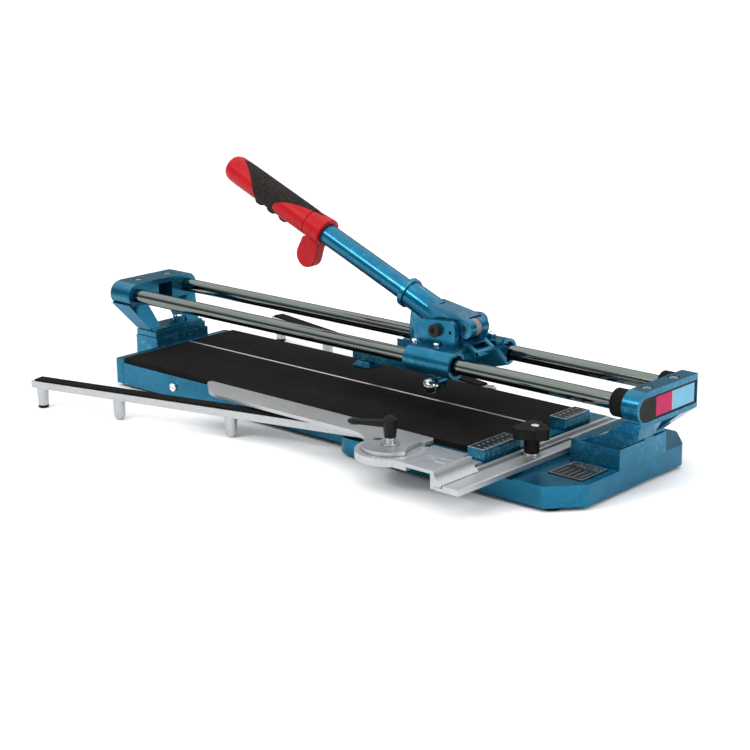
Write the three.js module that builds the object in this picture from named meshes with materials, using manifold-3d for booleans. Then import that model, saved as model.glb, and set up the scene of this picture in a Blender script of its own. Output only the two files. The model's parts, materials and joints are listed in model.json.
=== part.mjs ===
// Manual tile cutter with twin rails, a lever carriage, a protractor fence and two swing-out
// tile supports. Millimetres, +Z up, +X along the rails towards the fence, +Y to the back.
// All pieces are laid out from the scoring line: X = 0 at the end face of the big end casting,
// Y = 0 on the scoring line, Z = 0 on the bench. The group is then moved so that its origin is
// the middle of its footprint, on the bench.
import * as THREE from 'three';
import { ConvexGeometry } from 'three/addons/geometries/ConvexGeometry.js';
import { mergeVertices } from 'three/addons/utils/BufferGeometryUtils.js';
import Module from 'manifold-3d';

const wasm = await Module();
wasm.setup();

// ---- driving dimensions ----
const GAP = 0.3; // between touching pieces
const RUN = 0.35; // running clearance, on the radius

const RAIL_R = 11;
const RAIL_Y = 53.5; // rail axis to scoring line
const RAIL_Z = 124;
const RAIL_LEFT = -985;
const RAIL_RIGHT = 27;

const PAD_TOP = 48;
const PAD_THICK = 8;
const PAD_LEFT = -889.5;
const PAD_RIGHT = -164;
const PAD_FRONT = -139;
const PAD_REAR = 97;
const SCORE_HALF = 2.4; // half the slot that holds the breaking strip

const BASE_BOTTOM = 5; // height of the castings above the bench
const FRAME_TOP = PAD_TOP - PAD_THICK - GAP;
const WALL = 3;

const CAST_MID = -21; // middle of the wide castings, in Y
const CAST_HALF = 153;
const CAST_END_HALF = 110;
const CAST_CHAMFER = 38;
const FLANGE_TOP = 34.4;
const WING_LEFT = -408;
const WING_TOP = 28.5;
const PLINTH = { x0: -79, y0: -62, y1: 48, top: 62.7 };
const LEDGE = { x0: -128, x1: -90, y0: -150, y1: 106, top: 37.7 };

const END_X = -910; // outer face of the left end casting
const BLOCK = { x0: -955, x1: -904, y0: -57, y1: 54, top: 60 };

const BOSS_R = 20; // rail bosses on the supports
const LEFT_BOSS = { x0: -996, x1: -950 };
const RIGHT_BOSS = { x0: 7, x1: 32 };

const PIVOT = { x: -288, z: 169 }; // lever pivot on the carriage
const LEVER_TILT = THREE.MathUtils.degToRad(22.3);
const LEVER_DROP = 18.9; // lever axis below the pivot
const BARREL_R = 13;
const WHEEL = { x: -361, z: 72, r: 11 };
const SIDE_PIN = { x: -330, z: 164 }; // clamping bolt in the front cheek

const FENCE = { x0: -128, x1: -89.6, y0: -280, y1: 93, z0: 38, floor: 46, ridge: 48 };
const BRACKET = { x0: -135.3, x1: -117.5, y0: -280, y1: -204, top: 63 }; // foot of the protractor
const KNOB = { x: -109, y: -105 };
const POST = { x: -262, y: -212 }; // axis of the protractor
const RULER_Z = 48.6;
const RULER_THICK = 5.4;

const ARM = { pivotX: -352, frontY: -154, rearY: 112, z0: 31.5, z1: 42.4, strip: 45.4, half: 10.5 };
const ARM_TURN = { front: THREE.MathUtils.degToRad(14), rear: THREE.MathUtils.degToRad(11.8) };

// ---- materials ----
function paint(color, roughness, metalness) {
  return new THREE.MeshStandardMaterial({ color, roughness, metalness });
}
const BLUE = () => paint(0x1d6d97, 0.35, 0.45);
const STEEL = () => paint(0xb9bcbc, 0.25, 0.9);
const CHROME = () => paint(0xd6d8d8, 0.12, 1.0);
const ALUMINIUM = () => paint(0xb4b7b8, 0.45, 0.85);
const RUBBER = () => paint(0x1c1b1b, 0.85, 0.0);
const BLACK = () => paint(0x141414, 0.5, 0.1);
const RED = () => paint(0xc01622, 0.4, 0.0);
const BUSH = () => paint(0x8d7c80, 0.5, 0.4);
const LABEL = () => paint(0x8fc3dc, 0.4, 0.0);

// ---- geometry helpers ----
const root = new THREE.Group();
root.name = 'tile_cutter';

function add(name, geometry, material, parent = root) {
  const mesh = new THREE.Mesh(geometry, material);
  mesh.name = name;
  parent.add(mesh);
  return mesh;
}

function solid(geometry) {
  const bare = geometry.clone();
  bare.deleteAttribute('normal');
  bare.deleteAttribute('uv');
  const merged = mergeVertices(bare, 1e-4);
  const vertProperties = new Float32Array(merged.attributes.position.array);
  const triVerts = new Uint32Array(merged.index.array);
  return new wasm.Manifold(new wasm.Mesh({ numProp: 3, vertProperties, triVerts }));
}

function geometryOf(manifold) {
  const mesh = manifold.getMesh();
  const geometry = new THREE.BufferGeometry();
  geometry.setAttribute('position', new THREE.BufferAttribute(mesh.vertProperties, 3));
  geometry.setIndex(new THREE.BufferAttribute(mesh.triVerts, 1));
  geometry.computeVertexNormals();
  return geometry;
}

// Joins the solids of the first list and cuts the solids of the second from them.
function build(joined, cuts = []) {
  let body = solid(joined[0]);
  for (const piece of joined.slice(1)) body = body.add(solid(piece));
  for (const piece of cuts) body = body.subtract(solid(piece));
  return geometryOf(body);
}

function box(x0, x1, y0, y1, z0, z1) {
  const geometry = new THREE.BoxGeometry(x1 - x0, y1 - y0, z1 - z0);
  return geometry.translate((x0 + x1) / 2, (y0 + y1) / 2, (z0 + z1) / 2);
}

function hull(points) {
  return new ConvexGeometry(points.map((p) => new THREE.Vector3(...p)));
}

// A block that tapers from a rectangle at height za to another at height zb.
function taper(a, za, b, zb) {
  const corners = (r, z) => [[r[0], r[2], z], [r[1], r[2], z], [r[1], r[3], z], [r[0], r[3], z]];
  return hull([...corners(a, za), ...corners(b, zb)]);
}

function extrude(outline, depth) {
  const isShape = outline instanceof THREE.Shape;
  const shape = isShape ? outline : new THREE.Shape(outline.map((p) => new THREE.Vector2(...p)));
  return new THREE.ExtrudeGeometry(shape, { depth, bevelEnabled: false, curveSegments: 6 });
}

// Outline in X and Y, raised along Z.
function prismZ(outline, z0, z1) {
  return extrude(outline, z1 - z0).translate(0, 0, z0);
}

// Outline in X and Z, drawn out along Y.
function prismY(outline, y0, y1) {
  return extrude(outline, y1 - y0).rotateX(Math.PI / 2).translate(0, y1, 0);
}

// Outline in Y and Z, drawn out along X.
function prismX(outline, x0, x1) {
  const turn = new THREE.Matrix4().set(0, 0, 1, 0, 1, 0, 0, 0, 0, 1, 0, 0, 0, 0, 0, 1);
  return extrude(outline, x1 - x0).applyMatrix4(turn).translate(x0, 0, 0);
}

function rodX(r, x0, x1, y, z, sides = 24) {
  const rod = new THREE.CylinderGeometry(r, r, x1 - x0, sides).rotateZ(-Math.PI / 2);
  return rod.translate((x0 + x1) / 2, y, z);
}

function rodY(r, y0, y1, x, z, sides = 20) {
  return new THREE.CylinderGeometry(r, r, y1 - y0, sides).translate(x, (y0 + y1) / 2, z);
}

function rodZ(r, z0, z1, x, y, sides = 16, top = r) {
  const rod = new THREE.CylinderGeometry(top, r, z1 - z0, sides).rotateX(Math.PI / 2);
  return rod.translate(x, y, (z0 + z1) / 2);
}

// A turned piece: profile points are radius and height, closed on itself or on the axis.
function turned(profile, sides) {
  const points = profile.map((p) => new THREE.Vector2(...p));
  return new THREE.LatheGeometry(points, sides).rotateX(Math.PI / 2);
}

function ringX(outer, inner, x0, x1, y, z, sides = 24) {
  return build([rodX(outer, x0, x1, y, z, sides)], [rodX(inner, x0 - 1, x1 + 1, y, z, sides)]);
}

// A plan outline with every corner rounded.
function roundedPlan(points, radius) {
  const shape = new THREE.Shape();
  const count = points.length;
  points.forEach((point, i) => {
    const here = new THREE.Vector2(...point);
    const before = new THREE.Vector2(...points[(i + count - 1) % count]);
    const after = new THREE.Vector2(...points[(i + 1) % count]);
    const start = here.clone().add(before.sub(here).setLength(radius));
    const end = here.clone().add(after.sub(here).setLength(radius));
    if (i === 0) shape.moveTo(start.x, start.y);
    else shape.lineTo(start.x, start.y);
    shape.quadraticCurveTo(here.x, here.y, end.x, end.y);
  });
  shape.closePath();
  return shape;
}

// ---- base ----
function baseFrame() {
  const x1 = PAD_RIGHT - GAP;
  const y0 = PAD_FRONT - 1.5;
  const y1 = PAD_REAR + 1.5;
  const shell = box(PAD_LEFT, x1, y0, y1, BASE_BOTTOM, FRAME_TOP);
  const ribs = [];
  for (const x of [-710, -530, -350]) ribs.push(box(x, x + WALL, y0 + 1, y1 - 1, 20, FRAME_TOP - 1));
  const hollow = box(PAD_LEFT + WALL, x1 - WALL, y0 + WALL, y1 - WALL, 0, FRAME_TOP - WALL);
  const spine = box(PAD_LEFT + 1, x1 - 1, -12, 12, 12, FRAME_TOP - 1);
  const slot = box(PAD_LEFT - 1, x1 + 1, -2.2, 2.2, FRAME_TOP - 4, FRAME_TOP + 1);
  const bolt = rodY(3.4, y0 - 1, y0 + WALL + 1, -772, 22, 16);
  return geometryOf(solid(shell).subtract(solid(hollow)).add(solid(spine)).add(solid(ribs[0]))
    .add(solid(ribs[1])).add(solid(ribs[2])).subtract(solid(slot)).subtract(solid(bolt)));
}

function endCasting() {
  const cap = prismZ(roundedPlan([
    [END_X, PAD_FRONT - 1.5], [PAD_LEFT - GAP, PAD_FRONT - 1.5],
    [PAD_LEFT - GAP, PAD_REAR + 1.5], [END_X, PAD_REAR + 1.5],
  ], 5), BASE_BOTTOM, PAD_TOP - 3.5);
  const block = box(BLOCK.x0, BLOCK.x1, BLOCK.y0, BLOCK.y1, BASE_BOTTOM, BLOCK.top);
  const hollow = box(BLOCK.x0 + 6, BLOCK.x1 - 6, BLOCK.y0 + 8, BLOCK.y1 - 8, 0, BLOCK.top - 8);
  return build([cap, block], [hollow]);
}

function castingPlan() {
  const front = CAST_MID - CAST_HALF;
  const rear = CAST_MID + CAST_HALF;
  const endFront = CAST_MID - CAST_END_HALF;
  const endRear = CAST_MID + CAST_END_HALF;
  return roundedPlan([
    [PAD_RIGHT, front], [-CAST_CHAMFER, front], [0, endFront],
    [0, endRear], [-CAST_CHAMFER, rear], [PAD_RIGHT, rear],
  ], 5);
}

// The wing beside the frame that carries a swing arm: side is -1 at the front, +1 at the back.
function castingWing(side) {
  const outer = CAST_MID + side * CAST_HALF;
  const inner = side < 0 ? PAD_FRONT - 1.5 - GAP : PAD_REAR + 1.5 + GAP;
  const shape = new THREE.Shape();
  shape.moveTo(WING_LEFT, inner);
  shape.quadraticCurveTo(WING_LEFT + 10, outer, WING_LEFT + 34, outer);
  shape.lineTo(PAD_RIGHT + 12, outer);
  shape.lineTo(PAD_RIGHT + 12, inner);
  shape.closePath();
  if (side < 0) return prismZ(shape, BASE_BOTTOM, WING_TOP);
  const mirrored = new THREE.Shape(shape.getPoints(10).reverse());
  return prismZ(mirrored, BASE_BOTTOM, WING_TOP);
}

function baseCasting() {
  const joined = [
    prismZ(castingPlan(), BASE_BOTTOM, FLANGE_TOP - 2),
    prismZ(roundedPlan([
      [-91, CAST_MID - CAST_HALF], [-CAST_CHAMFER, CAST_MID - CAST_HALF], [0, CAST_MID - CAST_END_HALF],
      [0, CAST_MID + CAST_END_HALF], [-CAST_CHAMFER, CAST_MID + CAST_HALF], [-91, CAST_MID + CAST_HALF],
    ], 5), FLANGE_TOP - 12, FLANGE_TOP),
    castingWing(-1),
    castingWing(1),
    taper([PLINTH.x0, 0, PLINTH.y0, PLINTH.y1], FLANGE_TOP - 3,
      [PLINTH.x0 + 1, -0.5, PLINTH.y0 + 1.5, PLINTH.y1 - 1.5], PLINTH.top),
    box(LEDGE.x0, LEDGE.x1, LEDGE.y0, LEDGE.y1, FLANGE_TOP - 10, LEDGE.top),
    box(PAD_RIGHT, -134.6, -94.5, -2.5, FLANGE_TOP - 10, 46.8),
    box(PAD_RIGHT, -134.6, -2.6, 105, FLANGE_TOP - 10, 43.6),
  ];
  const cuts = [];
  for (const [x0, x1] of [[-158, -88], [-82, -8]]) {
    for (const [y0, y1] of [[-160, -96], [-90, -24], [-18, 52], [58, 116]]) {
      const lid = x0 > -100 && y1 < 60 && y0 > -60 ? 50 : FLANGE_TOP - 6;
      const end = x1 > -20 && (y0 < -100 || y1 > 100) ? x1 - 26 : x1;
      cuts.push(box(x0, end, y0, y1, 0, lid));
    }
  }
  cuts.push(rodZ(3.3, 20, 50, KNOB.x, KNOB.y, 16));
  for (const y of [ARM.frontY, ARM.rearY]) cuts.push(rodZ(4.3, 12, 40, ARM.pivotX, y, 16));
  return build(joined, cuts);
}

function pad(y0, y1) {
  const top = PAD_TOP;
  return build([
    box(PAD_LEFT + GAP, PAD_RIGHT - GAP, y0, y1, top - PAD_THICK, top - 1),
    taper([PAD_LEFT + GAP, PAD_RIGHT - GAP, y0, y1], top - 1.01,
      [PAD_LEFT + GAP + 1, PAD_RIGHT - GAP - 1, y0 + 1, y1 - 1], top),
  ]);
}

function breakerStrip() {
  const bottom = FRAME_TOP - 3.7;
  return prismX([
    [-1.7, bottom], [1.7, bottom], [1.7, PAD_TOP - 0.5], [0.7, PAD_TOP + 0.3],
    [-0.7, PAD_TOP + 0.3], [-1.7, PAD_TOP - 0.5],
  ], PAD_LEFT + GAP, PAD_RIGHT - GAP);
}

function foot(x, y) {
  return turned([[0, 0], [12, 0], [13.5, 1.5], [13, BASE_BOTTOM - GAP], [0, BASE_BOTTOM - GAP]], 20)
    .translate(x, y, 0);
}

function makeBase() {
  add('base_frame', baseFrame(), BLUE());
  add('end_casting', endCasting(), BLUE());
  add('base_casting', baseCasting(), BLUE());
  add('pad_front', pad(PAD_FRONT, -SCORE_HALF), RUBBER());
  add('pad_rear', pad(SCORE_HALF, PAD_REAR), RUBBER());
  add('breaker_strip', breakerStrip(), STEEL());
  add('foot_front_right', foot(-40, -152), RUBBER());
  add('foot_rear_right', foot(-40, 110), RUBBER());
  add('foot_front_left', foot(-932, -44), RUBBER());
  add('foot_rear_left', foot(-932, 41), RUBBER());
  const plate = box(-67, -13, -126, -67, FLANGE_TOP + GAP, FLANGE_TOP + GAP + 1);
  add('rating_plate', plate, BLACK());
  const bolt = build([
    rodY(6.5, PAD_FRONT - 5, PAD_FRONT - 1.5 - GAP, -772, 22, 24),
    rodY(3, PAD_FRONT - 2, PAD_FRONT + 8, -772, 22, 16),
  ], [box(-780, -764, PAD_FRONT - 6, PAD_FRONT - 3.6, 21.1, 22.9)]);
  add('frame_bolt', bolt, CHROME());
}

// ---- rail supports ----
function bossBar(end, yRear, z0, z1) {
  const outline = new THREE.Shape();
  outline.moveTo(-RAIL_Y, RAIL_Z - BOSS_R);
  outline.lineTo(yRear ?? RAIL_Y, RAIL_Z - BOSS_R);
  if (yRear === undefined) outline.absarc(RAIL_Y, RAIL_Z, BOSS_R, -Math.PI / 2, Math.PI / 2, false);
  else outline.lineTo(yRear, RAIL_Z + BOSS_R + 0.5);
  outline.lineTo(-RAIL_Y, RAIL_Z + BOSS_R + 0.5);
  outline.absarc(-RAIL_Y, RAIL_Z, BOSS_R, Math.PI / 2, Math.PI * 1.5, false);
  const bar = solid(prismX(outline, end.x0, end.x1));
  return bar.intersect(solid(box(end.x0 - 1, end.x1 + 1, -90, 90, z0, z1)));
}

function railBores(x0, x1) {
  return [-RAIL_Y, RAIL_Y].map((y) => rodX(RAIL_R + GAP, x0, x1, y, RAIL_Z));
}

function leftSupport() {
  const foot0 = box(BLOCK.x0, BLOCK.x1 - 4, BLOCK.y0 + 2, BLOCK.y1 - 2, BLOCK.top + GAP, 69);
  const foot1 = box(BLOCK.x0 + 2, BLOCK.x1 - 7, BLOCK.y0 + 5, BLOCK.y1 - 5, 68, 73);
  const legFront = taper([-955, -922, -54, -30], 70, [-996, -952, -72, -34], 110);
  const legRear = taper([-955, -922, 27, 50], 70, [-996, -952, 34, 72], 110);
  const boss = rodZ(11, 70, 80, -930, 14, 24, 9.5);
  let body = bossBar(LEFT_BOSS, undefined, 90, RAIL_Z - 0.2);
  for (const piece of [foot0, foot1, legFront, legRear, boss]) body = body.add(solid(piece));
  const pocket = box(-985, -940, -9, 20, 109, 160);
  const shank = rodZ(3.4, 55, 90, -930, 14, 16);
  const screws = [-31, 31].map((y) => rodZ(3.3, 108, 130, -974, y, 16));
  for (const piece of [...railBores(RAIL_LEFT - GAP, -940), pocket, shank, ...screws]) {
    body = body.subtract(solid(piece));
  }
  return geometryOf(body);
}

function rightSupport() {
  const legFront = taper([-62, -2, -60, -16], PLINTH.top + GAP, [-22, 27, -62, -28], 82);
  const legTop = taper([-22, 27, -62, -28], 81.9, [7, 32, -66, -28], 104);
  const legRear = taper([-62, -8, 24, 46], PLINTH.top + GAP, [7, 32, 30, 68], 98);
  const neck = box(7, 32, -64, 68, 97.5, 110);
  const sole = box(-64, -3, -60, 46, PLINTH.top + GAP, 71);
  const rib = taper([-20, 4, -14, 4], 64, [12, 30, -24, -8], 100);
  let body = bossBar(RIGHT_BOSS, 68, 90, RAIL_Z - 0.2);
  for (const piece of [sole, legFront, legTop, legRear, neck, rib]) body = body.add(solid(piece));
  const pocket = solid(labelPocket(0));
  const screws = [-31, 31].map((y) => rodZ(3.3, 100, 130, 18, y, 16));
  for (const piece of [...railBores(-5, RAIL_RIGHT + GAP), ...screws]) body = body.subtract(solid(piece));
  return geometryOf(body.subtract(pocket));
}

// Recess in the end face with a rounded front end, shrunk by the margin.
function labelPocket(margin) {
  const out = margin ? 31.2 : 40;
  const base = margin ? 29 + GAP : 29;
  return build([
    box(base, out, -52, 66 - margin, 104.2 + margin, 136 - margin),
    rodX(15.9 - margin, base, out, -52, 120.1, 32),
  ]);
}

function railCap(end, yRear, screwX, cuts) {
  let body = bossBar(end, yRear, RAIL_Z + 0.2, 160);
  for (const y of [-31, 31]) {
    body = body.subtract(solid(rodZ(4.3, 110, 160, screwX, y, 20)));
    body = body.subtract(solid(rodZ(8, 139, 160, screwX, y, 24)));
  }
  for (const piece of cuts) body = body.subtract(solid(piece));
  return geometryOf(body);
}

function capScrew(x, y) {
  const screw = [rodZ(6.4, 139 + GAP, 143.6, x, y, 20), rodZ(2.9, 112, 140, x, y, 14)];
  return build(screw, [rodZ(3, 141.4, 146, x, y, 6)]);
}

function makeSupports() {
  add('rail_support_left', leftSupport(), BLUE());
  add('rail_support_right', rightSupport(), BLUE());
  const leftCuts = [...railBores(RAIL_LEFT - GAP, -940), box(-985, -940, -9, 20, 100, 136)];
  add('rail_cap_left', railCap(LEFT_BOSS, undefined, -974, leftCuts), BLUE());
  const rightCuts = [...railBores(-5, RAIL_RIGHT + GAP), labelPocket(0)];
  add('rail_cap_right', railCap(RIGHT_BOSS, 68, 18, rightCuts), BLUE());
  add('cap_screw_left_front', capScrew(-974, -31), STEEL());
  add('cap_screw_left_rear', capScrew(-974, 31), STEEL());
  add('cap_screw_right_front', capScrew(18, -31), STEEL());
  add('cap_screw_right_rear', capScrew(18, 31), STEEL());
  const domed = build([
    rodZ(2.9, 62, 81, -930, 14, 14),
    turned([[0, 80.3], [6.5, 80.3], [6.5, 82.5], [4.5, 84.4], [0, 85]], 20).translate(-930, 14, 0),
  ]);
  add('support_bolt_left', domed, CHROME());
  add('rail_front', rodX(RAIL_R, RAIL_LEFT, RAIL_RIGHT, -RAIL_Y, RAIL_Z), CHROME());
  add('rail_rear', rodX(RAIL_R, RAIL_LEFT, RAIL_RIGHT, RAIL_Y, RAIL_Z), CHROME());
  add('bumper_front', ringX(19, RAIL_R + GAP, -12, 6.7, -RAIL_Y, RAIL_Z), RUBBER());
  add('bumper_rear', ringX(19, RAIL_R + GAP, -12, 6.7, RAIL_Y, RAIL_Z), RUBBER());
  add('end_label', labelPocket(0.4), LABEL());
}

// ---- fence and protractor ----
function fenceBar() {
  const f = FENCE;
  const profile = [
    [f.x0, f.z0], [f.x1, f.z0], [f.x1, f.floor - 1.2], [f.x1 - 1.2, f.floor], [-115.5, f.floor],
    [-115.5, f.floor - 3.5], [-121, f.floor - 3.5], [-121, f.ridge], [f.x0 + 1.5, f.ridge],
    [f.x0, f.ridge - 1.5],
  ];
  const slot = box(KNOB.x - 3.5, KNOB.x + 3.5, KNOB.y - 8, KNOB.y + 90, f.z0 - 2, f.floor + 2);
  const seat = box(f.x0 - 1, BRACKET.x1 + GAP, f.y0 - 1, BRACKET.y1 + GAP, f.floor - 3, f.floor + 4);
  return build([prismY(profile, f.y0, f.y1)], [slot, seat]);
}

function fenceKnob() {
  const shape = new THREE.Shape();
  const lobes = 3;
  const steps = 36;
  for (let i = 0; i < steps; i += 1) {
    const turn = (i / steps) * Math.PI * 2;
    const r = 21.5 + 5 * Math.cos(lobes * turn);
    if (i === 0) shape.moveTo(r, 0);
    else shape.lineTo(r * Math.cos(turn), r * Math.sin(turn));
  }
  const head = prismZ(shape, 70, 84.6);
  const crown = taper([-16, 16, -16, 16], 84, [-7, 7, -7, 7], 86.4);
  const neck = rodZ(10.5, 48.9, 71, 0, 0, 24);
  return build([head, crown, neck], [rodZ(3.6, 46, 78, 0, 0, 16)]);
}

function fenceStud() {
  return build([
    rodZ(3, 30, 76, KNOB.x, KNOB.y, 14),
    rodZ(11.5, FENCE.floor + GAP, 48.6, KNOB.x, KNOB.y, 24),
  ]);
}

function protractorBlock() {
  const top = RULER_Z - GAP;
  const b = BRACKET;
  const foot0 = prismY([
    [b.x0, 38.5], [FENCE.x0 - GAP, 38.5], [FENCE.x0 - GAP, 43.3], [b.x1, 43.3], [b.x1, 46],
    [-120, 47], [-124, 49.8], [-127.4, 54], [-129.3, 59], [-129.8, b.top], [b.x0, b.top],
  ], b.y0, b.y1);
  const joined = [
    rodZ(48, 37.5, top, POST.x, POST.y, 40),
    box(-262, -205, -246, -176, 37.5, top),
    box(-226, -166, -200, -165, 37.5, top),
    box(-206, b.x0 + 1, -246, -177, 42.8, top - 0.5),
    foot0,
  ];
  const cuts = [
    rodZ(4.3, 20, 60, POST.x, POST.y, 16),
    rodZ(7, 20, 60, -291, -207, 20),
  ];
  return build(joined, cuts);
}

// Plan outline about the post, with the bar pointing along -X.
function rulerOutline() {
  const shape = new THREE.Shape();
  shape.moveTo(31.5, 50);
  shape.lineTo(27, 57);
  shape.lineTo(-400, 57);
  shape.quadraticCurveTo(-412, 57, -407, 48);
  shape.lineTo(-376, 22);
  shape.quadraticCurveTo(-362, 12, -340, 11.5);
  shape.lineTo(-84, 12);
  shape.quadraticCurveTo(-56, 12, -37, -8);
  shape.absarc(0, 0, 38.5, Math.PI * 1.07, Math.PI * 1.9, false);
  shape.lineTo(27, 3);
  shape.lineTo(22, 34);
  shape.lineTo(30, 34);
  shape.closePath();
  return shape;
}

function ruler() {
  const plate = prismZ(rulerOutline(), RULER_Z, RULER_Z + RULER_THICK);
  return build([plate], [
    rodZ(5.4, 40, 60, 0, 0, 20),
    rodZ(6, 40, 60, -28, 6, 20),
  ]).translate(POST.x, POST.y, 0);
}

function clampLever() {
  const hub = turned([
    [0, 64], [8, 64], [9.5, 78], [9.5, 88], [5, 93], [0, 93],
  ], 18);
  const direction = THREE.MathUtils.degToRad(204);
  const arm = hull([[0, -6, 78], [0, 6, 78], [0, -6, 87], [0, 6, 87],
    [44, -5, 79], [44, 5, 79], [44, -5, 84], [44, 5, 84]]);
  const tip = new THREE.SphereGeometry(8, 10, 6).scale(1.35, 0.9, 0.62).translate(49, 0, 81.6);
  const turnedArm = build([arm, tip]).rotateZ(direction);
  return build([hub, turnedArm], [rodZ(4.2, 60, 76, 0, 0, 16)]).translate(POST.x, POST.y, 0);
}

function clampStud() {
  const top = RULER_Z + RULER_THICK;
  return build([
    rodZ(3.8, 36, 74, POST.x, POST.y, 16),
    rodZ(13, top + GAP, top + 2.2, POST.x, POST.y, 24),
    rodZ(7.4, top + 1.5, 63.6, POST.x, POST.y, 24),
  ]);
}

function scaleBlock(y0, y1, z0) {
  return box(-161.5, -134.6, y0, y1, z0, 62.7);
}

function makeFence() {
  add('scale_block_front', scaleBlock(-174, -96, FLANGE_TOP - 2 + GAP), BLUE());
  add('scale_block_rear', scaleBlock(4, 62, 43.6 + GAP), BLUE());
  add('fence_bar', fenceBar(), ALUMINIUM());
  add('fence_stud', fenceStud(), STEEL());
  add('fence_knob', fenceKnob().translate(KNOB.x, KNOB.y, 0), BLACK());
  add('protractor_block', protractorBlock(), ALUMINIUM());
  add('ruler', ruler(), ALUMINIUM());
  add('clamp_stud', clampStud(), STEEL());
  add('clamp_lever', clampLever(), BLACK());
}

// ---- swing-out tile supports ----
// Drawn along -X from the pivot, then turned about it; legs reach the bench.
const LEG_AT = [-227, -424, -567];
const ARM_TIP = -580;

function armBody() {
  const a = ARM;
  const shape = new THREE.Shape();
  shape.moveTo(ARM_TIP, -a.half);
  shape.lineTo(0, -a.half);
  shape.absarc(0, 0, a.half, -Math.PI / 2, Math.PI / 2, false);
  shape.lineTo(ARM_TIP, a.half);
  shape.closePath();
  const legs = LEG_AT.map((x, i) => {
    const low = i === LEG_AT.length - 1 ? 4 : 0;
    const round = low ? [8, low] : [5, low];
    return turned([[0, low], round, [low ? 8.3 : 8.2, low + 5], [9.4, a.z0 + 1], [0, a.z0 + 1]], 20)
      .translate(x, 0, 0);
  });
  return build([prismZ(shape, a.z0, a.z1), ...legs], [rodZ(4.4, 20, 60, 0, 0, 20)]);
}

function armStrip() {
  return box(ARM_TIP + 6, -16, -ARM.half + 1.2, ARM.half - 1.2, ARM.z1 + GAP, ARM.strip);
}

function armTip() {
  return turned([[0, 0], [7, 0], [8, 1], [8, 4 - GAP], [0, 4 - GAP]], 20).translate(LEG_AT[2], 0, 0);
}

function armBolt() {
  return build([rodZ(3.8, 14, 43, 0, 0, 16), rodZ(8, ARM.z1 + GAP, 45.4, 0, 0, 20)]);
}

function makeArm(side, y, turn) {
  const group = new THREE.Group();
  group.position.set(ARM.pivotX, y, 0);
  group.rotation.z = turn;
  root.add(group);
  add(`arm_${side}`, armBody(), ALUMINIUM(), group);
  add(`arm_strip_${side}`, armStrip(), RUBBER(), group);
  add(`arm_tip_${side}`, armTip(), RUBBER(), group);
  add(`arm_bolt_${side}`, armBolt(), STEEL(), group);
}

// ---- carriage ----
const FRONT_SLEEVE = { x0: -362, x1: -279 };
const REAR_SLEEVE = { x0: -440, x1: -272 };
const SLEEVE_R = 19.5;
const BUSH_R = 14.5;

function sleeve(s, side) {
  const y = side * RAIL_Y;
  const inner = side * 29;
  const shoulder = prismX([
    [y + side * 13, RAIL_Z + 14.5], [y - side * 2, RAIL_Z + 19.4], [inner, RAIL_Z + 20],
    [inner, RAIL_Z - 12], [y, RAIL_Z - 10],
  ], Math.max(s.x0 + 3, -372), s.x1 - 3);
  return [rodX(SLEEVE_R, Math.max(s.x0, -372), s.x1, y, RAIL_Z, 32), shoulder];
}

// Side cheek with a rounded upper corner, standing on a sleeve.
function cheek(y0, y1) {
  const shape = new THREE.Shape();
  shape.moveTo(-372, 132);
  shape.lineTo(-296, 132);
  shape.lineTo(-296, 168);
  shape.quadraticCurveTo(-297, 179, -308, 180);
  shape.lineTo(-343, 177.5);
  shape.quadraticCurveTo(-366, 176, -371, 162);
  shape.closePath();
  return prismY(shape, y0, y1);
}

// Triangular gusset beside the inclined plate under the pivot.
function gusset(y0, y1) {
  return prismY([[-298, 133], [-271, 133], [-270, 139.5], [-297, 157]], y0, y1);
}

// Inclined plate with a window, and the post that carries the middle knuckle.
function pivotPost() {
  const plate = prismY([[-291.9, 147.9], [-276, 133], [-266, 133], [-269, 138], [-289, 152]], -20, 14);
  const post = prismY([[-298, 166], [-277, 166], [-283, 147.8], [-294, 149]], -1.7, 13.2);
  return [plate, post, rodY(BARREL_R, -1.7, 13.2, PIVOT.x, PIVOT.z, 28)];
}

function carriageBody() {
  const saddle = hull([
    [-316, -44, 136], [-281, -44, 136], [-316, 44, 136], [-262, 44, 136],
    [-316, -44, 118], [-282, -44, 115], [-316, 44, 118], [-266, 40, 108], [-270, 30, 108],
    [-300, 0, 138], [-278, -15, 138], [-263, 11, 138.5],
  ]);
  const joined = [
    ...sleeve(FRONT_SLEEVE, -1),
    ...sleeve(REAR_SLEEVE, 1),
    saddle,
    cheek(-37, -28.5),
    cheek(28.5, 37),
    gusset(-25, -19),
    gusset(13, 19),
    ...pivotPost(),
    rodX(16.8, REAR_SLEEVE.x0, -370, RAIL_Y, RAIL_Z, 32),
    rodX(SLEEVE_R, REAR_SLEEVE.x0 + 2, REAR_SLEEVE.x0 + 12, RAIL_Y, RAIL_Z, 32),
    box(-474, REAR_SLEEVE.x0 + 10, 43, 62, 99, 112.3),
    box(-318, -298, -38, -25, 128, 150),
    box(-318, -298, 25, 38, 128, 150),
    rodZ(7.5, 130, 147, -296, 43.5, 24),
  ];
  const cuts = [
    rodX(BUSH_R + GAP, -500, -200, -RAIL_Y, RAIL_Z, 32),
    rodX(BUSH_R + GAP, -500, -200, RAIL_Y, RAIL_Z, 32),
    rodY(5.4, -40, 40, PIVOT.x, PIVOT.z, 20),
    rodY(6.1, -40, -27, SIDE_PIN.x, SIDE_PIN.z, 20),
    rodY(2.4, -40, -27, -305, 164, 14),
    prismY([[-279, 149], [-288, 140], [-280, 133.5], [-270.5, 143]], -17.5, 11.5),
    ...[[-364, -43.5, 136], [-324, -43.5, 136], [-296, 43.5, 139]].map(([x, y, z]) => rodZ(2.8, z, 150, x, y, 14)),
  ];
  return build(joined, cuts);
}

function bush(s, y) {
  return ringX(BUSH_R, RAIL_R + RUN, s.x0 + 8, s.x1 - 8, y, RAIL_Z);
}

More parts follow.
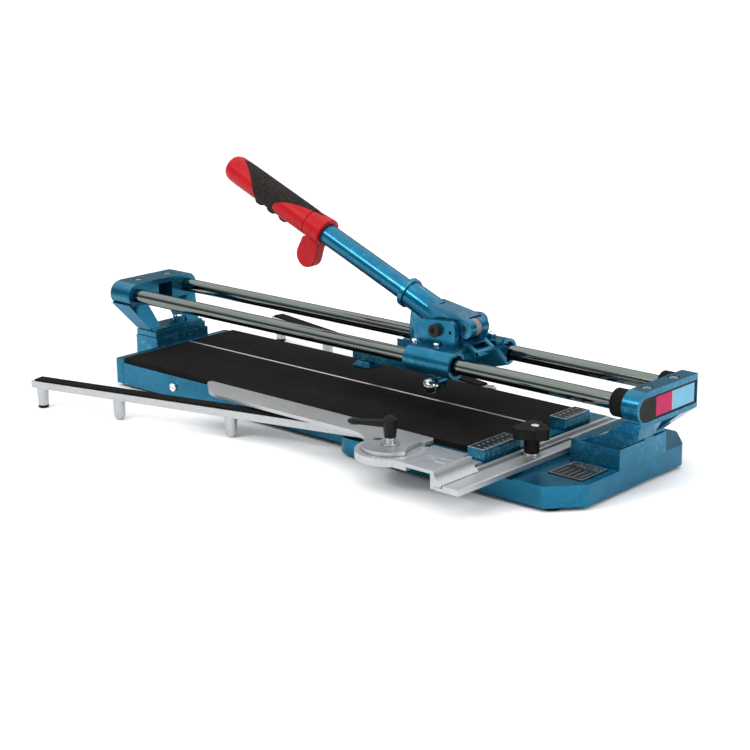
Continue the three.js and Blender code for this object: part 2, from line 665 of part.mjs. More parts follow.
function sidePin() {
  const { x, z } = SIDE_PIN;
  const bolt = [rodY(9.3, -44, -37 - GAP, x, z, 24), rodY(5.8, -38, -28.5, x, z, 20)];
  return build(bolt, [rodY(4.6, -45, -41, x, z, 6)]);
}

function pivotPin() {
  return rodY(5, -20, 12.4, PIVOT.x, PIVOT.z, 24);
}

// Spacer ring beside the middle knuckle.
function pivotSpacer() {
  const outer = rodY(12.4, -13.2, -2, PIVOT.x, PIVOT.z, 28);
  return build([outer], [rodY(5.35, -20, 5, PIVOT.x, PIVOT.z, 20)]);
}

function topScrew(x, y, z) {
  return build([
    rodZ(2.5, z - 7, z + 1, x, y, 14),
    turned([[0, z + GAP], [4.8, z + GAP], [4.8, z + 3], [3, z + 4.4], [0, z + 4.7]], 18).translate(x, y, 0),
  ]);
}

function makeCarriage() {
  add('carriage_body', carriageBody(), BLUE());
  add('bush_front', bush(FRONT_SLEEVE, -RAIL_Y), BUSH());
  add('bush_rear', bush(REAR_SLEEVE, RAIL_Y), BUSH());
  add('side_pin', sidePin(), BLACK());
  add('pivot_pin', pivotPin(), STEEL());
  add('pivot_spacer', pivotSpacer(), BUSH());
  add('carriage_screw_a', topScrew(-364, -43.5, 144), CHROME());
  add('carriage_screw_b', topScrew(-324, -43.5, 144), CHROME());
  add('carriage_screw_c', topScrew(-296, 43.5, 147), CHROME());
}

// ---- lever, scoring wheel and breaking foot ----
// The lever is drawn along +X from the pivot, lying level, then turned up to its resting angle.
const SOCKET = { from: 66, to: 129 };
const TUBE = { from: 84, to: 500, r: 16, bore: 13.5 };
const GRIP = { from: 300, to: 517, r: 21 };

function alongLever(geometry) {
  const turn = Math.PI + LEVER_TILT;
  return geometry.translate(0, 0, LEVER_DROP).rotateY(turn).translate(PIVOT.x, 0, PIVOT.z);
}

function leverBracket() {
  const socket = alongLever(build([
    rodX(19.5, SOCKET.from, SOCKET.to, 0, 0, 28),
    rodX(22.5, SOCKET.to - 7, SOCKET.to, 0, 0, 28),
  ]));
  const near = -LEVER_DROP;
  const far = SOCKET.from + 12;
  const neck = alongLever(hull([
    [4, -26, near - 12.4], [4, 13.2, near - 12.4], [4, -26, near + 12.4], [4, 13.2, near + 12.4],
    [26, -22, near - 9], [26, 15, near - 9], [30, -24, near + 17], [30, 20, near + 17],
    [far, -17, -15], [far, 17, -15], [far, -17, 15], [far, 17, 15],
  ]));
  const web = prismY([
    [-400, 182], [-320, 162], [-320, 150], [-350, 116], [-352, 98], [-350, 84], [-377, 84],
    [-401, 104], [-404, 150],
  ], -9.6, 9.6);
  const barrel = rodY(BARREL_R, -26, -13, PIVOT.x, PIVOT.z, 28);
  const holder = rodY(12.5, -9.6, 9.6, WHEEL.x, 78);
  const bridge = box(-520, -380, -5.5, 5.5, 85, 98);
  const bore = alongLever(rodX(TUBE.r + GAP, TUBE.from - GAP, SOCKET.to + 2, 0, 0, 28));
  return build([socket, neck, web, barrel, holder, bridge], [
    bore,
    rodY(BARREL_R + 1.5, -13.5, 13.5, PIVOT.x, PIVOT.z, 28),
    rodY(5 + RUN, -30, 30, PIVOT.x, PIVOT.z, 20),
    rodY(WHEEL.r + 2, -1.6, 1.6, WHEEL.x, WHEEL.z),
    rodY(3.3, -14, 14, WHEEL.x, WHEEL.z, 16),
  ]);
}

function gripCore() {
  const profile = [
    [0, GRIP.to], [12, GRIP.to], [18.5, GRIP.to - 4], [GRIP.r, GRIP.to - 12], [GRIP.r, GRIP.from + 30],
    [GRIP.r + 1.5, GRIP.from + 8], [GRIP.r + 2, GRIP.from], [0, GRIP.from],
  ];
  const turnedGrip = new THREE.LatheGeometry(profile.map((p) => new THREE.Vector2(...p)).reverse(), 24)
    .rotateZ(-Math.PI / 2);
  const lobe = hull(lobePoints());
  const waist = ringBand(GRIP.from + 34, GRIP.to - 22, GRIP.r - 3.3, GRIP.r + 3);
  const bore = rodX(TUBE.r + GAP, GRIP.from - 2, TUBE.to + GAP, 0, 0);
  return alongLever(build([turnedGrip, lobe], [waist, bore]));
}

// A short tube around the lever axis.
function ringBand(x0, x1, inner, outer) {
  return build([rodX(outer, x0, x1, 0, 0)], [rodX(inner, x0 - 1, x1 + 1, 0, 0)]);
}

// Finger guard that hangs below the collar: two discs of points joined by a hull.
function lobePoints() {
  const points = [];
  const centre = { x: GRIP.from + 22, z: 48 };
  for (const y of [-9, 9]) {
    for (let i = 0; i < 16; i += 1) {
      const turn = (i / 16) * Math.PI * 2;
      points.push([centre.x + 19 * Math.cos(turn), y, centre.z + 19 * Math.sin(turn)]);
    }
    points.push([GRIP.from + 6, y, 8], [GRIP.from + 36, y, 8]);
  }
  return points;
}

function gripRubber() {
  const x0 = GRIP.from + 34 + GAP;
  const x1 = GRIP.to - 22 - GAP;
  const sleeveBody = ringBand(x0, x1, GRIP.r - 3, GRIP.r + 0.4);
  const joined = [sleeveBody];
  for (let i = 0; i < 3; i += 1) {
    joined.push(new THREE.SphereGeometry(10, 10, 8).scale(1.2, 1.25, 1).translate(x0 + 52 + i * 27, 0, 17));
  }
  return alongLever(build(joined, [rodX(GRIP.r - 3, x0 - 5, x1 + 5, 0, 0)]));
}

function scoringWheel() {
  return turned([[2.9, -1.1], [8.6, -1.1], [WHEEL.r, 0], [8.6, 1.1], [2.9, 1.1], [2.9, -1.1]], 24)
    .rotateX(-Math.PI / 2).translate(WHEEL.x, 0, WHEEL.z);
}

// Axle pin with a domed head at the front.
function wheelAxle() {
  const { x, z } = WHEEL;
  const dome = solid(new THREE.SphereGeometry(12, 24, 16).translate(x, -12, z));
  const pin = solid(rodY(2.6, -12, 9.4, x, z, 16));
  return geometryOf(dome.subtract(solid(box(x - 20, x + 20, -9.9, 20, z - 20, z + 20))).add(pin));
}

function breakerFoot() {
  const shoe = hull([
    [-508, -13, 73], [-484, -13, 73], [-508, 13, 73], [-484, 13, 73],
    [-513, -14, 77], [-479, -14, 77], [-513, 14, 77], [-479, 14, 77],
    [-508, -9, 83.7], [-484, -9, 83.7], [-508, 9, 83.7], [-484, 9, 83.7],
  ]);
  return build([shoe], [box(-520, -470, -2.2, 2.2, 70, 75.5)]);
}

function makeLever() {
  add('lever_bracket', leverBracket(), BLUE());
  add('lever_tube', alongLever(ringBand(TUBE.from, TUBE.to, TUBE.bore, TUBE.r)), BLUE());
  add('grip_core', gripCore(), RED());
  add('grip_rubber', gripRubber(), RUBBER());
  add('scoring_wheel', scoringWheel(), STEEL());
  add('wheel_axle', wheelAxle(), CHROME());
  add('breaker_foot', breakerFoot(), BLUE());
}

makeBase();
makeSupports();
makeFence();
makeArm('front', ARM.frontY, ARM_TURN.front);
makeArm('rear', ARM.rearY, -ARM_TURN.rear);
makeCarriage();
makeLever();

// Origin: middle of the footprint, on the bench.
const extent = new THREE.Box3().setFromObject(root, true);
const middle = extent.getCenter(new THREE.Vector3());
root.position.set(-middle.x, -middle.y, -extent.min.z);
root.updateMatrixWorld(true);

export default root;
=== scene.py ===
"""Looks of the tile cutter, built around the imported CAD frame. Units are metres, +Z up."""
import json
import math

import bpy
from mathutils import Matrix, Vector

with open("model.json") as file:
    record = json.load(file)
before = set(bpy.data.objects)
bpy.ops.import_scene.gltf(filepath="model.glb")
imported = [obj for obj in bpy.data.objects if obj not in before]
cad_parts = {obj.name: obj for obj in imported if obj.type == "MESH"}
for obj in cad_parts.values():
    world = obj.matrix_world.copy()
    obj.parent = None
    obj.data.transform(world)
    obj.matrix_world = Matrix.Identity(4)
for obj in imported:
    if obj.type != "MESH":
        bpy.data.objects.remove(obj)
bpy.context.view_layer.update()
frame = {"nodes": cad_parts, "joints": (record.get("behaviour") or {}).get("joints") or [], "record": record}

MM = 0.001
NODES = frame["nodes"]

# the lever's line, which the grip's two colours follow
LEVER_PIVOT = next(j["pos_m"] for j in frame["joints"] if j["name"] == "lever_tilt")
LEVER_TILT = math.radians(22.3)
LEVER_DROP_MM = 18.9  # how far the tube's axis runs below the pivot


def grey(value):
    return (value, value, value)


# ---------------------------------------------------------------- node helpers
class Tree:
    """Short hand for building a material's node tree."""

    def __init__(self, name):
        self.mat = bpy.data.materials.new(name)
        self.mat.use_nodes = True
        self.nt = self.mat.node_tree
        self.bsdf = self.nt.nodes["Principled BSDF"]
        self.coords = self.new("ShaderNodeTexCoord")
        self.pos = self.coords.outputs["Object"]

    def new(self, kind, **values):
        """A node with its settings or its inputs' values given by name."""
        node = self.nt.nodes.new(kind)
        for key, value in values.items():
            if hasattr(node, key):
                setattr(node, key, value)
            else:
                node.inputs[key].default_value = value
        return node

    def link(self, a, b):
        self.nt.links.new(a, b)

    def mapped(self, scale, turn=(0, 0, 0)):
        node = self.new("ShaderNodeMapping", Scale=scale, Rotation=turn)
        self.link(self.pos, node.inputs["Vector"])
        return node.outputs["Vector"]

    def noise(self, scale, detail=3.0, roughness=0.55, vector=None):
        node = self.new("ShaderNodeTexNoise", Scale=scale, Detail=detail, Roughness=roughness)
        self.link(vector or self.pos, node.inputs["Vector"])
        return node.outputs["Fac"]

    def cells(self, scale, feature="F1", vector=None):
        node = self.new("ShaderNodeTexVoronoi", feature=feature, Scale=scale)
        self.link(vector or self.pos, node.inputs["Vector"])
        return node.outputs["Distance"]

    def ramp(self, fac, stops):
        node = self.new("ShaderNodeValToRGB")
        while len(node.color_ramp.elements) < len(stops):
            node.color_ramp.elements.new(0.5)
        for element, (at, colour) in zip(node.color_ramp.elements, stops):
            element.position = at
            element.color = (*colour, 1)
        self.link(fac, node.inputs["Fac"])
        return node.outputs["Color"]

    def tones(self, fac, low, high):
        """Two shades of one colour, mixed by a noise."""
        return self.ramp(fac, [(0.3, low), (0.7, high)])

    def mask(self, fac, start, end, most=1):
        """0 up to the start, rising to the most at the end."""
        return self.ramp(fac, [(start, grey(0)), (end, grey(most))])

    def math(self, op, a, b=None):
        node = self.new("ShaderNodeMath", operation=op)
        for i, value in enumerate((a, b)):
            if value is None:
                continue
            if isinstance(value, (int, float)):
                node.inputs[i].default_value = value
            else:
                self.link(value, node.inputs[i])
        return node.outputs[0]

    def mix(self, fac, a, b):
        node = self.new("ShaderNodeMix", data_type="RGBA")
        for socket, value in ((node.inputs[0], fac), (node.inputs[6], a), (node.inputs[7], b)):
            if isinstance(value, tuple):
                socket.default_value = (*value, 1)
            else:
                self.link(value, socket)
        return node.outputs[2]

    def bump(self, height, strength, distance=0.0003, under=None):
        node = self.new("ShaderNodeBump", Strength=strength, Distance=distance)
        self.link(height, node.inputs["Height"])
        if under is not None:
            self.link(under, node.inputs["Normal"])
        return node.outputs["Normal"]

    def normal(self, out):
        self.link(out, self.bsdf.inputs["Normal"])

    def base(self, out):
        self.link(out, self.bsdf.inputs["Base Color"])

    def rough(self, fac, low, high):
        node = self.new("ShaderNodeMapRange")
        node.inputs["To Min"].default_value = low
        node.inputs["To Max"].default_value = high
        self.link(fac, node.inputs["Value"])
        self.link(node.outputs[0], self.bsdf.inputs["Roughness"])

    def edges(self):
        """1 on convex edges, 0 elsewhere."""
        node = self.new("ShaderNodeNewGeometry")
        return self.mask(node.outputs["Pointiness"], 0.52, 0.6)

    def millimetres(self, origin):
        """X, Y and Z in millimetres from a point."""
        split = self.new("ShaderNodeSeparateXYZ")
        self.link(self.pos, split.inputs[0])
        offsets = [self.math("SUBTRACT", out, start) for out, start in zip(split.outputs, origin)]
        return [self.math("MULTIPLY", offset, 1000.0) for offset in offsets]

    def axes(self, node):
        """X, Y and Z in millimetres from the low corner of a CAD node."""
        corners = [Vector(c) for c in NODES[node].bound_box]
        return self.millimetres([min(c[i] for c in corners) for i in range(3)])

    def length(self, dx, dy):
        """Distance from two offsets."""
        return self.math("SQRT", self.math("ADD", self.square(dx), self.square(dy)))

    def square(self, value):
        return self.math("MULTIPLY", value, value)

    def degrees(self, dy, dx):
        return self.math("MULTIPLY", self.math("ARCTAN2", dy, dx), 180 / math.pi)

    def band(self, value, low, high):
        """1 where low < value < high."""
        off = self.math("ABSOLUTE", self.math("SUBTRACT", value, (low + high) / 2))
        return self.math("LESS_THAN", off, (high - low) / 2)

    def both(self, *masks):
        out = masks[0]
        for mask in masks[1:]:
            out = self.math("MULTIPLY", out, mask)
        return out

    def either(self, *masks):
        out = masks[0]
        for mask in masks[1:]:
            out = self.math("MAXIMUM", out, mask)
        return out

    def outside(self, mask):
        return self.math("SUBTRACT", 1.0, mask)

    def ticks(self, value, pitch, width):
        """1 on lines of the given width, repeated at the pitch."""
        phase = self.math("FRACT", self.math("DIVIDE", value, pitch))
        return self.math("LESS_THAN", phase, width / pitch)

    def facing(self, axis, low=0.8):
        """1 where the surface looks along +X, +Y or +Z."""
        split = self.new("ShaderNodeSeparateXYZ")
        self.link(self.coords.outputs["Normal"], split.inputs[0])
        return self.math("GREATER_THAN", split.outputs[axis], low)

    def set(self, **values):
        for key, value in values.items():
            self.bsdf.inputs[key.replace("_", " ")].default_value = value


def size_mm(node):
    return [1000 * v for v in NODES[node].dimensions]


# ---------------------------------------------------------------- materials
def blue_paint(name="blue_paint", marks=None):
    """Metallic teal-blue paint, a little uneven, with a painted highlight along the convex edges; marks lay
    print over it.
    """
    t = Tree(name)
    flow = t.noise(45, 4, 0.6)
    flake = t.noise(2600, 2, 0.7)
    shades = [(0.3, (0.0015, 0.1, 0.185)), (0.5, (0.002, 0.12, 0.22)), (0.72, (0.004, 0.142, 0.255))]
    tone = t.ramp(flow, shades)
    tone = t.mix(t.mask(flake, 0.55, 0.8, 0.18), tone, (0.03, 0.3, 0.48))
    # painted highlight: a lighter copy of the blue laid on the convex edges, broken into patches by a noise
    edge_highlight_patches = t.ramp(t.noise(140, 5, 0.7), [(0.5, grey(0.1)), (0.7, grey(0.6))])
    tone = t.mix(t.both(t.edges(), edge_highlight_patches), tone, (0.13, 0.42, 0.58))
    grime = t.mask(t.noise(18, 5, 0.7), 0.5, 0.8, 0.3)
    tone = t.mix(grime, tone, (0.004, 0.085, 0.16))
    t.base(marks(t, tone) if marks else tone)
    t.rough(t.noise(300, 3), 0.2, 0.3)
    t.set(Metallic=0.72, Coat_Weight=0.12, Coat_Roughness=0.06, Specular_IOR_Level=0.3)
    t.normal(t.bump(t.cells(420, "SMOOTH_F1"), 0.03, 0.0003, t.bump(flow, 0.08, 0.0012)))
    return t.mat


def scale_block(node):
    """Painted block with a dark graduated top, silver edges and a graduated face."""
    step, half_step = 10.0, 2.5  # spacing of the long and the short marks, in millimetres

    def marks(t, tone):
        x, y, z = t.axes(node)
        width, length, height = size_mm(node)
        top = t.facing(2)
        plate = t.both(top, t.band(x, 1.6, width - 1.2), t.band(y, 1.4, length - 1.4))
        rim = t.both(top, t.outside(plate))
        fine = t.both(t.ticks(y, half_step, 0.5), t.band(x, width - 5.0, width - 1.6))
        coarse = t.both(t.ticks(y, step, 0.8), t.band(x, width - 9, width - 1.6))
        specks = t.math("GREATER_THAN", t.cells(900, vector=t.mapped((1, 1, 0.2))), 0.5)
        figures = t.both(t.ticks(y, step, 3.0), t.band(x, 7, 11.5), specks)
        face = t.either(t.both(t.ticks(y, half_step, 0.4), t.band(z, height - 7, height - 4)),
                        t.both(t.ticks(y, step, 0.7), t.band(z, height - 12, height - 4)))
        tone = t.mix(plate, tone, (0.02, 0.02, 0.022))
        tone = t.mix(rim, tone, (0.45, 0.5, 0.52))
        tone = t.mix(t.both(plate, t.either(fine, coarse, figures)), tone, (0.6, 0.62, 0.62))
        return t.mix(t.both(t.facing(0), face), tone, (0.3, 0.42, 0.5))
    return blue_paint("paint_" + node, marks)


def end_label():
    """Black insert with a blank two-tone field."""
    t = Tree("end_label")
    _, y, z = t.axes("end_label")
    _, length, height = size_mm("end_label")
    border, start, split, stop = 2.6, length - 94, length - 56, length - 4.5
    field = t.both(t.band(z, border, height - border), t.band(y, start, stop), t.facing(0, 0.5))
    red = t.both(field, t.band(y, start, split))
    line = t.both(field, t.band(y, split - 1, split + 0.4))
    cloud = t.noise(40, 4)
    tone = t.tones(cloud, (0.003, 0.003, 0.0035), (0.007, 0.007, 0.0075))
    tone = t.mix(field, tone, t.tones(cloud, (0.13, 0.37, 0.53), (0.17, 0.43, 0.6)))
    tone = t.mix(red, tone, t.tones(cloud, (0.42, 0.012, 0.085), (0.48, 0.018, 0.105)))
    t.base(t.mix(line, tone, (0.4, 0.45, 0.5)))
    t.rough(t.noise(200, 3), 0.2, 0.32)
    t.set(Specular_IOR_Level=0.1)
    t.normal(t.bump(t.noise(900, 2), 0.05, 0.0001))
    return t.mat


def rating_plate():
    """Black plate with a silver frame and plain ruled lines."""
    t = Tree("rating_plate")
    x, y, _ = t.axes("rating_plate")
    w, h, _ = size_mm("rating_plate")
    outer = t.both(t.band(x, 1.6, w - 1.6), t.band(y, 1.6, h - 1.6))
    inner = t.both(t.band(x, 2.4, w - 2.4), t.band(y, 2.4, h - 2.4))
    frame_line = t.both(outer, t.outside(inner))
    rows = t.both(t.ticks(x, 9.0, 0.8), inner, t.band(y, 6, h - 24))
    dashes = t.both(t.ticks(x, 3.1, 1.3), t.band(y, h - 18, h - 6), inner,
                    t.math("GREATER_THAN", t.noise(420, 1), 0.52))
    silver = t.both(t.either(frame_line, rows, dashes), t.facing(2))
    tone = t.tones(t.noise(60, 4), (0.004, 0.004, 0.005), (0.009, 0.009, 0.01))
    t.base(t.mix(silver, tone, (0.34, 0.36, 0.37)))
    t.rough(t.noise(300, 3), 0.3, 0.42)
    t.set(Specular_IOR_Level=0.1)
    t.normal(t.bump(t.noise(900, 3), 0.08, 0.0002))
    return t.mat


def knob_plastic():
    """Moulded black knob with a plain silver disc let into the crown."""
    disc_x, disc_radius = 23.5, 5.2
    t = Tree("knob_plastic")
    x, y, _ = t.axes("fence_knob")
    middle = size_mm("fence_knob")[1] / 2
    reach = t.length(t.math("SUBTRACT", x, disc_x), t.math("SUBTRACT", y, middle))
    disc = t.both(t.math("LESS_THAN", reach, disc_radius), t.facing(2, 0.9))
    tone = t.tones(t.noise(60, 4), (0.004, 0.0038, 0.0036), (0.009, 0.0085, 0.008))
    t.base(t.mix(disc, tone, (0.5, 0.51, 0.52)))
    t.rough(t.noise(260, 3), 0.3, 0.44)
    t.set(Specular_IOR_Level=0.12)
    t.normal(t.bump(t.noise(900, 3), 0.12, 0.0002, t.bump(disc, 0.4, 0.0003)))
    return t.mat


def protractor():
    """Cast aluminium with cut degree marks round the rim and plain index lines on the plate."""
    pivot_x, pivot_y, rim = 48.0, 68.0, 46.5  # in millimetres, from the node's low corner

    def marks(t, tone):
        x, y, _ = t.axes("protractor_block")
        dx = t.math("SUBTRACT", x, pivot_x)
        dy = t.math("SUBTRACT", y, pivot_y)
        radius = t.length(dx, dy)
        turn = t.degrees(dy, dx)
        ring = t.either(t.both(t.band(radius, rim - 6, rim), t.ticks(turn, 10.0, 1.4)),
                        t.both(t.band(radius, rim - 3, rim), t.ticks(turn, 5.0, 1.2)))
        slants = t.ticks(t.math("ADD", x, y), 4.2, 1.4)
        index = t.either(t.both(t.band(x, 126, 146), t.band(y, 64, 66)),
                         t.both(t.band(x, 110, 122), slants, t.band(y, 70, 76)))
        return t.mix(t.both(t.either(ring, index), t.facing(2)), tone, grey(0.95))
    return aluminium("protractor", marks)


def rail_chrome():
    """Greenish chromed rod with faint lines along it."""
    t = Tree("rail_chrome")
    streak = t.noise(900, 4, 0.6, t.mapped((0.02, 1, 1)))
    t.base(t.tones(streak, (0.13, 0.15, 0.14), (0.2, 0.222, 0.207)))
    t.rough(streak, 0.06, 0.12)
    t.set(Metallic=1.0)
    t.normal(t.bump(streak, 0.05, 0.0002))
    return t.mat


def chrome():
    """Bright nuts and bolts."""
    t = Tree("chrome")
    t.base(t.tones(t.noise(300, 3), (0.72, 0.73, 0.74), (0.86, 0.87, 0.88)))
    t.rough(t.noise(900, 3), 0.08, 0.2)
    t.set(Metallic=1.0)
    return t.mat


def steel():
    """Bare ground steel."""
    t = Tree("steel")
    streak = t.noise(700, 5, 0.65, t.mapped((0.05, 1, 1)))
    t.base(t.tones(streak, (0.42, 0.43, 0.43), (0.62, 0.63, 0.63)))
    t.rough(streak, 0.22, 0.42)
    t.set(Metallic=1.0)
    t.normal(t.bump(streak, 0.12, 0.0002))
    return t.mat


def aluminium(name="aluminium", marks=None):
    """Satin aluminium: faint die lines, small pits, soft cloudy tone."""
    t = Tree(name)
    streak = t.noise(500, 5, 0.65, t.mapped((0.06, 1, 1), (0, 0, 0.05)))
    cloud = t.mask(t.noise(22, 4, 0.6), 0.35, 0.75, 0.35)
    tone = t.tones(streak, (0.42, 0.43, 0.44), (0.56, 0.57, 0.58))
    tone = t.mix(cloud, tone, (0.35, 0.36, 0.37))
    t.base(marks(t, tone) if marks else tone)
    t.rough(streak, 0.3, 0.46)
    t.set(Metallic=0.85)
    t.normal(t.bump(streak, 0.08, 0.0002, t.bump(t.noise(1500, 2), 0.1, 0.0001)))
    return t.mat


def rubber(name, low, high, grain=1500):
    """Matt black rubber with a fine grain."""
    t = Tree(name)
    t.base(t.ramp(t.noise(30, 4, 0.6), [(0.3, low), (0.72, high)]))
    t.rough(t.noise(200, 3), 0.62, 0.85)
    t.set(Specular_IOR_Level=0.06)
    t.normal(t.bump(t.noise(grain, 3, 0.6), 0.35, 0.0002))
    return t.mat


def grip(name, has_lobe):
    """Red moulding with a dark leaf-textured sleeve; tongues of red reach along the sides."""
    t = Tree(name)
    x, y, z = t.millimetres(LEVER_PIVOT)
    side = t.math("ABSOLUTE", y)
    sine, cosine = math.sin(LEVER_TILT), math.cos(LEVER_TILT)
    along = t.math("SUBTRACT", t.math("MULTIPLY", z, sine), t.math("MULTIPLY", x, cosine))
    across = t.math("ADD", t.math("MULTIPLY", x, sine), t.math("MULTIPLY", z, cosine))
    up = t.math("ADD", across, LEVER_DROP_MM)
    turn = t.degrees(up, side)

    def bow(shift, factor, start):
        """A parabola over the turn round the grip, in millimetres along it."""
        off = t.math("ADD", turn, shift)
        return t.math("ADD", t.math("MULTIPLY", t.square(off), factor), start)

    cap = t.math("GREATER_THAN", along, bow(38.0, 0.0034, 442.0))
    tongue = t.math("LESS_THAN", along, bow(15.0, -0.008, 400.0))
    red = t.either(cap, tongue)
    if has_lobe:
        red = t.either(red, t.math("LESS_THAN", up, -25.0))
    leaf = t.cells(230, "DISTANCE_TO_EDGE", t.mapped((0.45, 1, 1), (0, LEVER_TILT, 0)))
    line = t.mask(leaf, 0.03, 0.12)
    cloud = t.noise(40, 4)
    dark = t.tones(cloud, (0.006, 0.0052, 0.005), (0.013, 0.011, 0.0105))
    dark = t.mix(line, (0.026, 0.017, 0.015), dark)
    t.base(t.mix(red, dark, t.tones(cloud, (0.4, 0.003, 0.008), (0.47, 0.005, 0.011))))
    t.rough(t.outside(t.math("MULTIPLY", red, 0.8)), 0.28, 0.72)
    t.set(Specular_IOR_Level=0.16)
    skin = t.mix(red, line, grey(1.0))
    t.normal(t.bump(skin, 0.4, 0.0004, t.bump(t.noise(1600, 2), 0.08, 0.0001)))
    return t.mat


def plastic(name, low, high, rough=(0.25, 0.4)):
    """Plain moulded plastic."""
    t = Tree(name)
    t.base(t.tones(t.noise(35, 3), low, high))
    t.rough(t.noise(160, 3), *rough)
    t.set(Specular_IOR_Level=0.14)
    t.normal(t.bump(t.noise(900, 3, 0.6), 0.06, 0.0002))
    return t.mat


# the finish of each material slot of the record
BLUE = blue_paint()
MATERIALS = {
    "blue_paint": BLUE,
    "cast_paint": BLUE,
    "rail_chrome": rail_chrome(),
    "chrome": chrome(),
    "steel": steel(),
    "aluminium": aluminium(),
    "pad_rubber": rubber("pad_rubber", (0.005, 0.0046, 0.0045), (0.0105, 0.0092, 0.0085)),
    "foot_rubber": rubber("foot_rubber", (0.005, 0.005, 0.005), (0.01, 0.0095, 0.009), 700),
    "grip_rubber": grip("grip_rubber", False),
    "black_plastic": plastic("black_plastic", (0.005, 0.005, 0.005), (0.01, 0.01, 0.0105)),
    "red_plastic": plastic("red_plastic", (0.42, 0.005, 0.01), (0.49, 0.008, 0.014), (0.3, 0.42)),
    "bush": plastic("bush", (0.2, 0.17, 0.175), (0.28, 0.235, 0.24), (0.4, 0.55)),
    "label": end_label(),
    "plate": rating_plate(),
    "black_steel": plastic("black_steel", (0.01, 0.01, 0.01), (0.02, 0.019, 0.018), (0.3, 0.45)),
}

# nodes with marks of their own
OWN = {
    "scale_block_front": scale_block("scale_block_front"),
    "scale_block_rear": scale_block("scale_block_rear"),
    "fence_knob": knob_plastic(),
    "protractor_block": protractor(),
    "grip_core": grip("grip_core", True),
}


# ---------------------------------------------------------------- CAD nodes, edges softened
BEVEL_MM = {
    "base_casting": 1.2, "end_casting": 1.0, "rail_support_left": 1.0, "rail_support_right": 1.0,
    "rail_cap_left": 1.2, "rail_cap_right": 1.2, "carriage_body": 1.1, "lever_bracket": 1.1,
    "base_frame": 0.8, "scale_block_front": 0.6, "scale_block_rear": 0.6, "fence_knob": 1.4,
    "clamp_lever": 1.0, "grip_core": 1.2,
}
FINE_BEVEL_MM = 0.35


def soften(node, width_mm):
    """Weld, flatten the facets and round the sharp edges of a CAD node with modifiers only."""
    ob = NODES[node]
    me = ob.data
    for attribute in ("custom_normal", "sharp_face", "sharp_edge"):
        if attribute in me.attributes:
            me.attributes.remove(me.attributes[attribute])
    me.shade_smooth()
    weld = ob.modifiers.new("weld", "WELD")
    weld.merge_threshold = 0.00001
    flat = ob.modifiers.new("flat", "DECIMATE")
    flat.decimate_type = "DISSOLVE"
    flat.angle_limit = math.radians(0.6)
    bevel = ob.modifiers.new("bevel", "BEVEL")
    bevel.width = width_mm * MM
    bevel.segments = 3
    bevel.limit_method = "ANGLE"
    bevel.angle_limit = math.radians(32)
    bevel.use_clamp_overlap = True
    bevel.harden_normals = False
    bevel.miter_outer = "MITER_ARC"
    normal = ob.modifiers.new("normal", "WEIGHTED_NORMAL")
    normal.keep_sharp = True
    normal.weight = 50


for row in frame["record"]["subparts"]:
    name = row["node"]
    ob = NODES[name]
    ob.data.materials.clear()
    ob.data.materials.append(OWN.get(name, MATERIALS[row["material_slot"]]))
    soften(name, BEVEL_MM.get(name, FINE_BEVEL_MM))


# ---------------------------------------------------------------- stage, light, camera
# brightness of the studio by the Z of the direction: dark near the horizon, bright overhead
STUDIO = [
    (0.0, (0.9, 0.9, 0.9)), (0.03, (0.2, 0.23, 0.22)), (0.3, (0.16, 0.19, 0.18)),
    (0.42, (0.5, 0.53, 0.52)), (0.55, (1.3, 1.31, 1.32)), (1.0, (1.7, 1.7, 1.7)),
]
FLOOR_SIZE = 90
FLOOR_GAP = 0.0005
CAMERA_SPOT = (1.71392, -1.85434, 0.78081)
CAMERA_YAW, CAMERA_PITCH, CAMERA_ROLL = (math.radians(v) for v in (42.235, 15.725, -0.635))
CAMERA_LENS_MM = 85.472


def make_stage():
    bpy.ops.mesh.primitive_plane_add(size=FLOOR_SIZE, location=(0, 0, -FLOOR_GAP))
    floor = bpy.context.object
    floor.name = "stage_floor"
    t = Tree("stage_floor")
    t.base(t.tones(t.noise(0.7, 2), grey(0.95), grey(0.97)))
    t.set(Roughness=0.75, Specular_IOR_Level=0.1)
    floor.data.materials.append(t.mat)


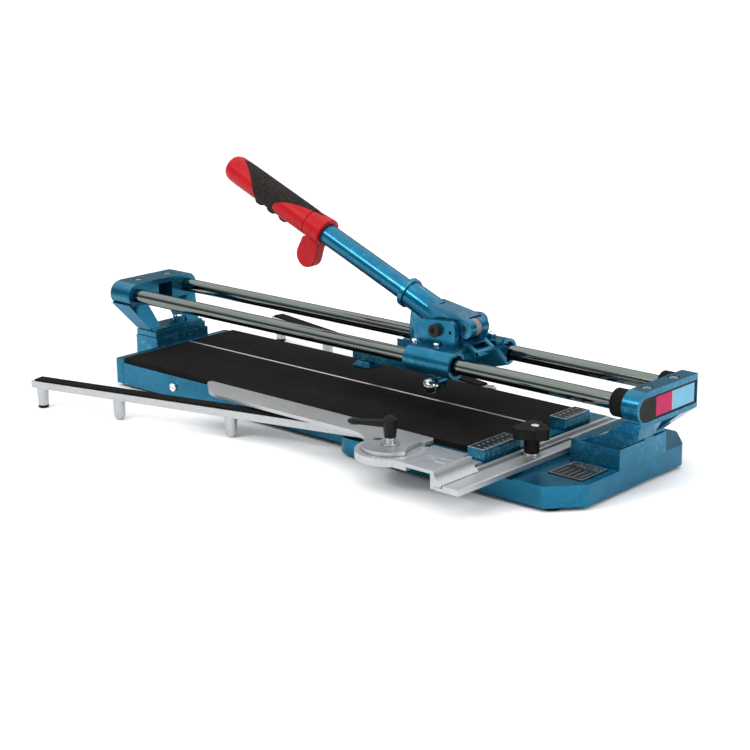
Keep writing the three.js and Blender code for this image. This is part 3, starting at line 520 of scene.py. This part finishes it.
def area(name, location, target, size, power):
    light = bpy.data.lights.new(name, "AREA")
    light.shape = "RECTANGLE"
    light.size, light.size_y = size
    light.energy = power
    ob = bpy.data.objects.new(name, light)
    ob.location = location
    ob.rotation_mode = "QUATERNION"
    ob.rotation_quaternion = (Vector(target) - Vector(location)).to_track_quat("-Z", "Y")
    bpy.context.scene.collection.objects.link(ob)


def make_light():
    world = bpy.data.worlds.new("studio")
    bpy.context.scene.world = world
    world.use_nodes = True
    nt = world.node_tree
    back = nt.nodes["Background"]
    coords = nt.nodes.new("ShaderNodeTexCoord")
    split = nt.nodes.new("ShaderNodeSeparateXYZ")
    sky = nt.nodes.new("ShaderNodeValToRGB")
    while len(sky.color_ramp.elements) < len(STUDIO):
        sky.color_ramp.elements.new(0.5)
    for element, (at, colour) in zip(sky.color_ramp.elements, STUDIO):
        element.position = at
        element.color = (*colour, 1)
    nt.links.new(coords.outputs["Generated"], split.inputs[0])
    nt.links.new(split.outputs[2], sky.inputs["Fac"])
    nt.links.new(sky.outputs["Color"], back.inputs["Color"])
    area("key", (-0.7, -2.3, 1.9), (0, 0, 0.1), (1.1, 0.5), 26)
    area("side", (2.3, -0.3, 1.1), (0.2, 0, 0.1), (0.35, 1.0), 12)


def make_camera():
    """Long lens from the front right, a little above."""
    flat = math.cos(CAMERA_PITCH)
    forward = Vector((-math.sin(CAMERA_YAW) * flat, math.cos(CAMERA_YAW) * flat, -math.sin(CAMERA_PITCH)))
    right = forward.cross(Vector((0, 0, 1))).normalized()
    up = right.cross(forward)
    level = Matrix((right, up, -forward)).transposed().to_4x4()
    camera = bpy.data.cameras.new("camera")
    camera.sensor_width = 36
    camera.lens = CAMERA_LENS_MM
    camera.clip_end = 50
    ob = bpy.data.objects.new("camera", camera)
    spot = Matrix.Translation(Vector(CAMERA_SPOT))
    ob.matrix_world = spot @ level @ Matrix.Rotation(CAMERA_ROLL, 4, "Z")
    bpy.context.scene.collection.objects.link(ob)
    bpy.context.scene.camera = ob


make_stage()
make_light()
make_camera()
bpy.context.scene.view_settings.view_transform = "Standard"
